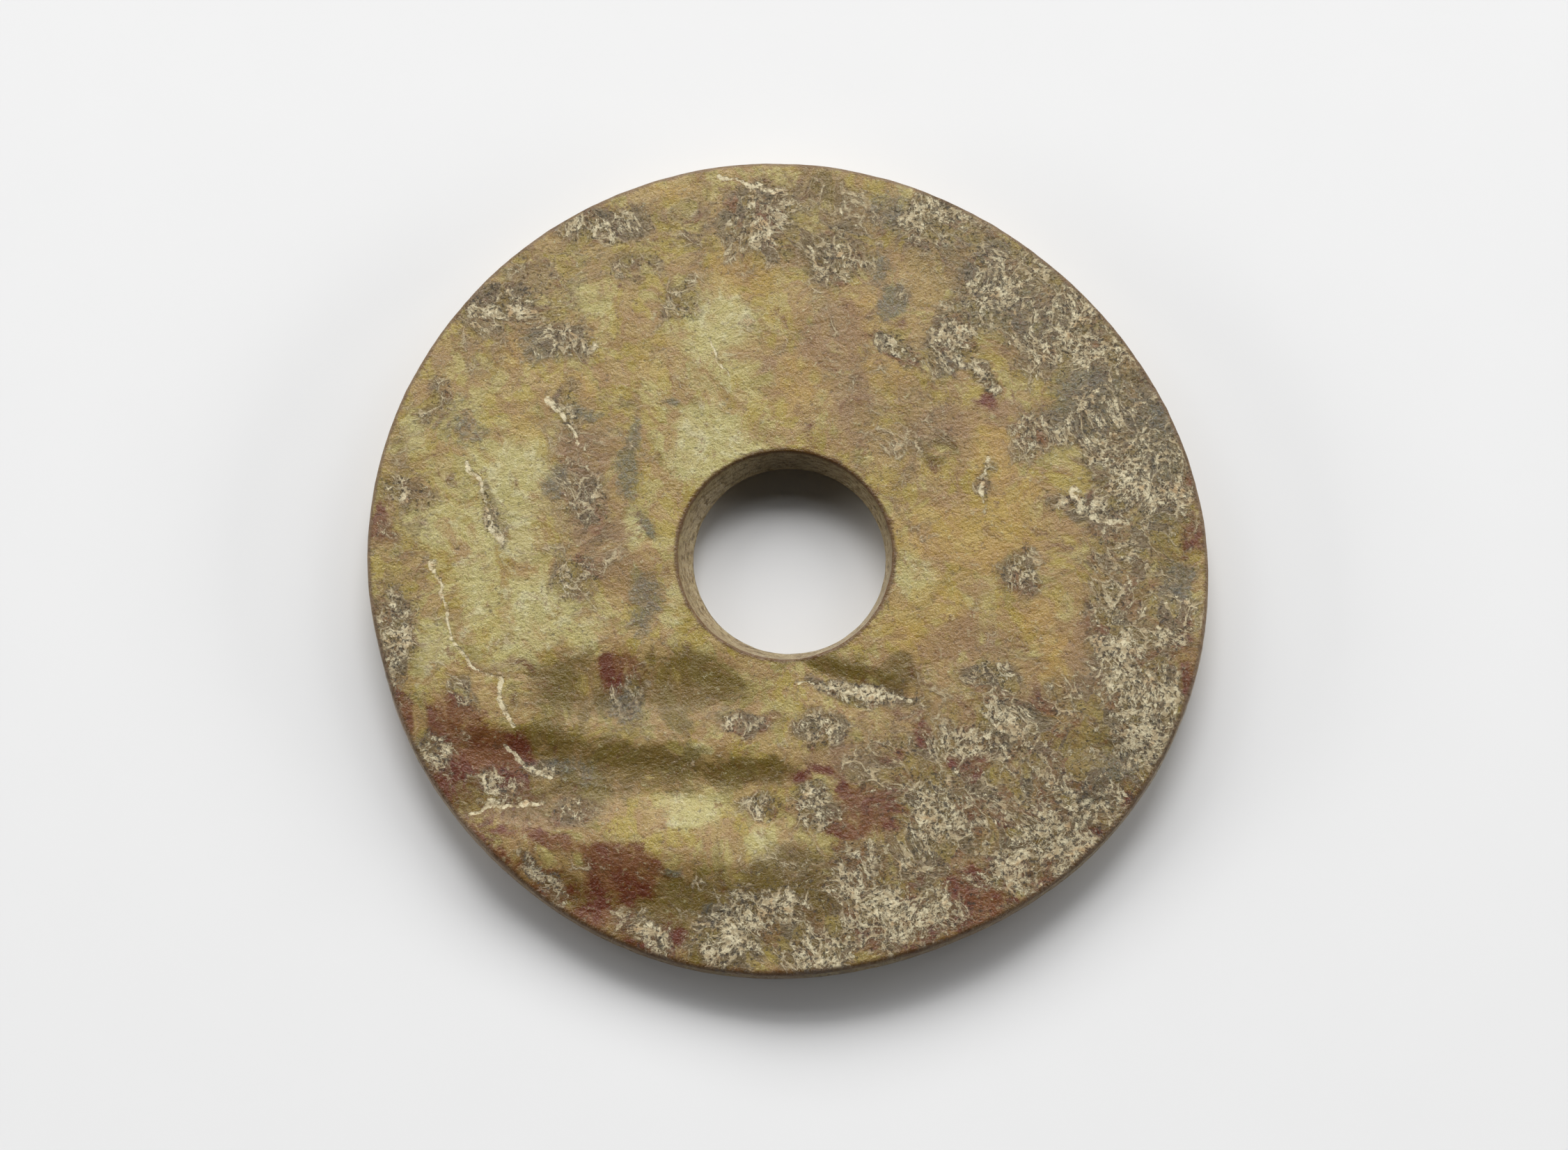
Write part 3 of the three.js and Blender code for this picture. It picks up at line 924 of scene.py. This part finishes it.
@dataclass(frozen=True)
class JadeFinish:
    """Weathered nephrite: clouded stone, mineral stains, cream crust, pits and satin ripples, with painted
    shade in the olive stain on the sawn slopes and in the dark ground around the crust.
    """

    straw: Colour = paint(168, 152, 90)
    moss: Colour = paint(136, 120, 56)
    tan: Colour = paint(160, 130, 78)
    celadon: Colour = paint(180, 171, 112)
    frost: Colour = paint(197, 190, 146)
    ochre: Colour = paint(170, 134, 60)
    # The olive stain's colour, which is also used as painted shade on the sawn slopes.
    olive_and_slope_shade: Colour = paint(92, 72, 8)
    smoke: Colour = paint(92, 82, 56)
    slate: Colour = paint(84, 88, 84)
    mauve: Colour = paint(134, 102, 70)
    russet: Colour = paint(104, 52, 18)
    blood: Colour = paint(92, 24, 10)
    cream: Colour = paint(222, 210, 174)
    drab: Colour = paint(176, 158, 122)
    pit: Colour = paint(54, 44, 30)
    honey: Colour = paint(84, 52, 8)
    umber: Colour = paint(100, 80, 46)
    bone: Colour = paint(150, 134, 102)
    rust: Colour = paint(196, 146, 84)
    earth: Colour = paint(106, 56, 26)
    gold: Colour = paint(158, 134, 42)
    rose: Colour = paint(146, 114, 70)
    streak_turn: float = math.radians(62.0)
    streak_stretch: float = 1.3
    clast_size: float = 3.4
    thread_size: float = 1.35
    scratch_squeeze: float = 4.0
    bump_depth: float = 0.22
    polish: float = 0.22

    def stirred(self, bench: Bench, place: Socket, size: float, reach: float,
                detail: float) -> Socket:
        """A place pushed about by a noise.

        Args:
            bench: the material's bench.
            place: the place, in mm.
            size: the size of the noise's lumps, in mm.
            reach: twice how far the noise can push, in mm.
            detail: how many finer octaves it has.

        Returns:
            The pushed place.
        """
        stir = bench.node("ShaderNodeTexNoise", {}, {"Vector": place, "Scale": 1.0 / size, "Detail": detail})
        shift = bench.vector("SUBTRACT", stir.outputs["Color"], (0.5, 0.5, 0.5))
        return bench.vector("ADD", place, bench.vector("SCALE", shift, scale=reach))

    def grains(self, bench: Bench) -> StoneGrain:
        """Makes the noises that every layer shares."""
        coords = bench.node("ShaderNodeTexCoord", {}, {}).outputs["Object"]
        place = bench.vector("SCALE", coords, scale=1.0 / MM)
        bent = self.stirred(bench, place, 16.0, 10.0, 1.0)
        torn = bench.node("ShaderNodeMapping", {"vector_type": "TEXTURE"},
                          {"Vector": self.stirred(bench, bent, 2.2, 2.2, 3.0),
                           "Rotation": (0.0, 0.0, -self.streak_turn),
                           "Scale": (self.streak_stretch, 1.0, 1.0)}).outputs[0]
        clasts = bench.node("ShaderNodeTexVoronoi", {"feature": "F1"},
                            {"Vector": torn, "Scale": 1.0 / self.clast_size})
        value = bench.node("ShaderNodeSeparateColor", {}, {"Color": clasts.outputs["Color"]})
        return StoneGrain(
            place=place,
            bent=bent,
            torn=torn,
            cloud=bench.noise(bent, 9.0, 6.0, 0.62),
            mottle=bench.noise(bent, 3.4, 6.0, 0.66),
            grain=bench.noise(place, 1.4, 5.0, 0.7),
            fine=bench.noise(place, 0.55, 3.0, 0.65),
            hue=bench.noise(torn, 5.0, 6.0, 0.66),
            clast=Reading(bench, value.outputs["Red"]),
            gap=bench.cell_gap(torn, self.clast_size),
        )

    @staticmethod
    def spread(bench: Bench, mineral: Mineral, noise: Reading, width: float, reach: float) -> Reading:
        """Where a mineral shows.

        Args:
            bench: the material's bench.
            mineral: the mineral whose map is read.
            noise: breaks up the map's edge.
            width: half of how softly the edge runs out.
            reach: how much the noise does.

        Returns:
            The mineral's share, 0 to 1.
        """
        return (bench.attribute(mineral.value) + (noise - 0.5) * reach).rise(0.5 - width, 0.5 + width)

    def stone(self, bench: Bench, grains: StoneGrain) -> Socket:
        """The bare stone: clouds and stains, without the crust; the olive stain is partly painted shade on
        the sawn slopes.
        """
        mottle, grain, fine, hue, clast = grains.mottle, grains.grain, grains.fine, grains.hue, grains.clast
        celadon = bench.attribute(Mineral.CELADON.value)
        crusted = bench.attribute(Mineral.LACE.value).rise(0.1, 0.6)
        between = grains.gap.rise(0.34, 0.06) * hue.rise(0.54, 0.44)
        seam = abs(bench.noise(grains.bent, 7.0, 6.0, 0.6) - 0.5).rise(0.012, 0.0)
        ground = bench.mix(self.umber, self.earth, hue.rise(0.46, 0.54))
        red = bench.mix(self.russet, self.blood, hue.rise(0.5, 0.56))
        ash = bench.mix(self.smoke, self.slate, fine.rise(0.45, 0.6))
        return bench.layered(self.moss, [
            (self.straw, grains.cloud.rise(0.4, 0.54)),
            (self.gold, clast.rise(0.66, 0.74) * 0.55),
            (self.tan, clast.rise(0.36, 0.3) * 0.7),
            (self.rose, between * (1.0 - celadon * 0.8) * 0.8),
            (self.celadon, self.spread(bench, Mineral.CELADON, hue, 0.3, 3.2) * 0.65),
            (self.frost, (mottle + celadon * 0.15).rise(0.62, 0.74) * 0.6),
            (self.ochre, self.spread(bench, Mineral.OCHRE, hue, 0.3, 3.2) * 0.5),
            (self.mauve, self.spread(bench, Mineral.MAUVE, hue, 0.25, 2.2) * 0.75),
            (ground, self.spread(bench, Mineral.LACE, mottle, 0.35, 2.0) * 0.75),
            (self.moss, clast.rise(0.66, 0.74) * crusted * 0.6),
            (self.smoke, clast.rise(0.3, 0.22) * crusted * 0.7),
            # Olive layer: the stain's colour, and painted shade on the slopes that face away from the light.
            (self.olive_and_slope_shade, self.spread(bench, Mineral.OLIVE_AND_SLOPE_SHADE, hue, 0.35, 2.6) * 0.8),
            (red, self.spread(bench, Mineral.RUSSET, hue, 0.3, 2.6) * 0.85),
            (ash, self.spread(bench, Mineral.SMOKE, grain, 0.35, 2.0) * 0.75),
            (self.frost, grain.rise(0.58, 0.72) * 0.5),
            (self.russet, seam * mottle.rise(0.45, 0.6) * 0.6),
            (self.pit, grain.rise(0.43, 0.3) * 0.55),
            (self.pit, fine.rise(0.45, 0.3) * 0.5),
        ])

    def crust(self, bench: Bench, grains: StoneGrain) -> tuple[Reading, Reading, Reading]:
        """Where the cream crust lies.

        Returns:
            The crust, the dark pits in it, and the brown ground around it, which is partly painted shade
            along the crust's raised edges.
        """
        lace = bench.attribute(Mineral.LACE.value)
        rag = (grains.grain - 0.5) * 0.6
        lines = (grains.gap + rag).rise(0.08, 0.0)
        threads = (bench.cell_gap(grains.torn, self.thread_size) + rag).rise(0.1, 0.0)
        presence = bench.noise(grains.bent, 6.5, 7.0, 0.72) + lace * 0.24
        sheet = bench.noise(grains.torn, 1.8, 7.0, 0.78) + lace * 0.1 + (presence - 0.6) * 0.3
        shown = lines * presence.rise(0.56, 0.7) + threads * presence.rise(0.62, 0.8)
        shown = shown + sheet.rise(0.62, 0.67)
        # Ground around the crust lines: the brown stone of the crusted zones, and a painted shade halo along
        # the crust's edges.
        ground = grains.gap.rise(0.4, 0.1) * presence.rise(0.55, 0.7)
        ground = ground.at_least(presence.rise(0.68, 0.85))
        specks = bench.noise(grains.place, 0.9, 5.0, 0.72)
        pits = (specks + lace * 0.06).rise(0.6, 0.66) * lace.rise(0.05, 0.5)
        vein = (bench.attribute("vein") + (grains.grain - 0.5) * 0.3).rise(0.93, 1.0)
        return shown.up_to(1.0).at_least(vein), pits, ground

    def dress(self, piece: bpy.types.Object) -> None:
        """Gives the disc its finish."""
        bench = Bench("weathered_jade")
        grains = self.grains(bench)
        crust, pits, ground = self.crust(bench, grains)
        cream = bench.layered(self.drab, [
            (self.cream, grains.grain.rise(0.4, 0.58)),
            (self.rust, grains.mottle.rise(0.55, 0.65) * 0.35),
        ])
        flat = bench.vector("MULTIPLY", grains.place, (1.0, 1.0, self.scratch_squeeze))
        scratch = bench.noise(flat, 1.6, 6.0, 0.72)
        wall = bench.layered(self.umber, [
            (self.bone, scratch.rise(0.4, 0.58)),
            (self.pit, scratch.rise(0.42, 0.36) * 0.8),
        ])
        wander = grains.mottle - 0.5
        surface = bench.layered(self.stone(bench, grains), [
            # Umber over that ground: brown stone, and partly painted shade along the crust's edges.
            (self.umber, ground * (0.7 - bench.attribute(Mineral.CELADON.value) * 0.4)),
            (cream, crust * 0.85),
            (self.pit, pits * 0.8),
            (wall, bench.attribute("bore") * 0.9),
            (wall, bench.attribute("side") * 0.7),
            (self.honey, (bench.attribute("lip") + wander * 0.5).rise(0.62, 0.92) * 0.9),
            (self.honey, (bench.attribute("edge") + wander * 0.4).rise(0.72, 0.95) * 0.7),
        ])
        height = crust * 0.6 + grains.mottle * 1.8 + grains.grain * 1.5 + grains.fine * 0.7 - pits * 0.6
        bump = bench.node("ShaderNodeBump", {}, {"Distance": self.bump_depth * MM, "Height": height})
        shader = bench.node("ShaderNodeBsdfPrincipled", {}, {
            "Base Color": surface,
            "Roughness": self.polish + crust * 0.4 + grains.mottle * 0.12,
            "Specular IOR Level": 0.4,
            "IOR": 1.55,
            "Normal": bump.outputs[0],
        })
        piece.data.materials.append(bench.finish(shader))


# ---- The studio ----


@dataclass(frozen=True)
class Floor:
    """The plain pale floor the disc lies on."""

    radius: float = 30.0
    shade: float = 0.8

    def build(self) -> bpy.types.Object:
        """Makes the floor, just under the disc."""
        mesh = bpy.data.meshes.new("floor")
        ring = [(self.radius * math.cos(TURN * k / 64), self.radius * math.sin(TURN * k / 64), 0.0)
                for k in range(64)]
        mesh.from_pydata(ring, [], [list(range(64))])
        floor = bpy.data.objects.new("floor", mesh)
        floor.location.z = -0.00002
        bpy.context.scene.collection.objects.link(floor)
        bench = Bench("studio_floor")
        coords = bench.node("ShaderNodeTexCoord", {}, {}).outputs["Object"]
        grain = bench.noise(coords, 0.02, 3.0)
        shader = bench.node("ShaderNodeBsdfPrincipled", {}, {
            "Base Color": bench.mix((self.shade,) * 3, (self.shade * 0.985,) * 3, grain),
            "Roughness": 0.9,
            "Specular IOR Level": 0.1,
        })
        floor.data.materials.append(bench.finish(shader))
        return floor


@dataclass(frozen=True)
class Softbox:
    """A large soft light, as the stretch of sky that it fills when seen from the disc.

    Args:
        name: what it is called.
        azimuth: the direction of its middle, in degrees from +Y towards +X.
        low: the elevation of its lower edge, in degrees.
        high: the elevation of its upper edge, in degrees.
        watts: its power.
        sweep: how many degrees it is wide.
        distance: how far off it stands, in metres.
    """

    name: str
    azimuth: float
    low: float
    high: float
    watts: float
    sweep: float = 45.0
    distance: float = 6.0

    def build(self) -> bpy.types.Object:
        """Hangs the light, facing the disc."""
        azimuth, elevation = math.radians(self.azimuth), math.radians(0.5 * (self.low + self.high))
        towards = Vector((math.sin(azimuth) * math.cos(elevation),
                          math.cos(azimuth) * math.cos(elevation), math.sin(elevation)))
        data = bpy.data.lights.new(self.name, "AREA")
        data.shape = "RECTANGLE"
        data.size = 2.0 * self.distance * math.cos(elevation) * math.tan(math.radians(0.5 * self.sweep))
        data.size_y = 2.0 * self.distance * math.tan(math.radians(0.5 * (self.high - self.low)))
        data.energy = self.watts
        light = bpy.data.objects.new(self.name, data)
        light.location = towards * self.distance
        light.rotation_euler = (-towards).to_track_quat("-Z", "Y").to_euler()
        light.visible_camera = False
        bpy.context.scene.collection.objects.link(light)
        return light


@dataclass(frozen=True)
class Studio:
    """The lights, the surround and the picture's transform."""

    boxes: tuple[Softbox, ...] = (
        Softbox("key", 0, 38, 48, 145),
        Softbox("key_top", 0, 48, 58, 30),
        Softbox("bank_north", 0, 28, 38, 120),
        Softbox("bank_north_west", -45, 28, 38, 60),
        Softbox("bank_north_east", 45, 28, 38, 60),
        Softbox("low_north", 0, 18, 28, 98),
        Softbox("low_north_west", -45, 18, 28, 65),
        Softbox("low_north_east", 45, 18, 28, 65),
        Softbox("fill_west", -90, 8, 18, 150),
        Softbox("fill_east", 90, 8, 18, 150),
    )
    surround: float = 0.02

    def build(self) -> None:
        """Hangs the lights and sets the surround."""
        for box in self.boxes:
            box.build()
            log.info("light %s", box.name)
        world = bpy.data.worlds.new("surround")
        world.use_nodes = True
        tree = world.node_tree
        tree.nodes["Background"].inputs["Color"].default_value = (1.0, 1.0, 1.0, 1.0)
        tree.nodes["Background"].inputs["Strength"].default_value = self.surround
        bpy.context.scene.world = world
        bpy.context.scene.view_settings.view_transform = "Standard"


@dataclass(frozen=True)
class Viewpoint:
    """The camera: nearly overhead, a little to the -Y side."""

    tilt: float = 15.5
    distance: float = 0.9
    lens: float = 96.7
    aim_x: float = -0.76
    aim_y: float = -4.06

    def build(self, top: float) -> bpy.types.Object:
        """Sets the camera up, aimed at a point of the disc's upper face at height `top`."""
        tilt = math.radians(self.tilt)
        away = Vector((0.0, -math.sin(tilt), math.cos(tilt)))
        target = Vector((self.aim_x * MM, self.aim_y * MM, top))
        data = bpy.data.cameras.new("camera")
        data.lens = self.lens
        data.sensor_width = 36.0
        data.sensor_fit = "HORIZONTAL"
        data.dof.use_dof = False
        camera = bpy.data.objects.new("camera", data)
        camera.location = target + away * self.distance
        camera.rotation_euler = (tilt, 0.0, 0.0)
        bpy.context.scene.collection.objects.link(camera)
        bpy.context.scene.camera = camera
        return camera


def main() -> None:
    """Builds the disc, the floor, the lights and the camera in order."""
    logging.basicConfig(level=logging.INFO, format="%(name)s: %(message)s")
    Viewpoint().build(float(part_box("bi_disc")[1][2]))
    disc = JadeDisc(WorkedBlank(), SurfaceRelief())
    piece = disc.build()
    JadeFinish().dress(piece)
    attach(piece, "root")
    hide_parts(disc.node)
    Floor().build()
    Studio().build()


if __name__ == "__main__":
    main()
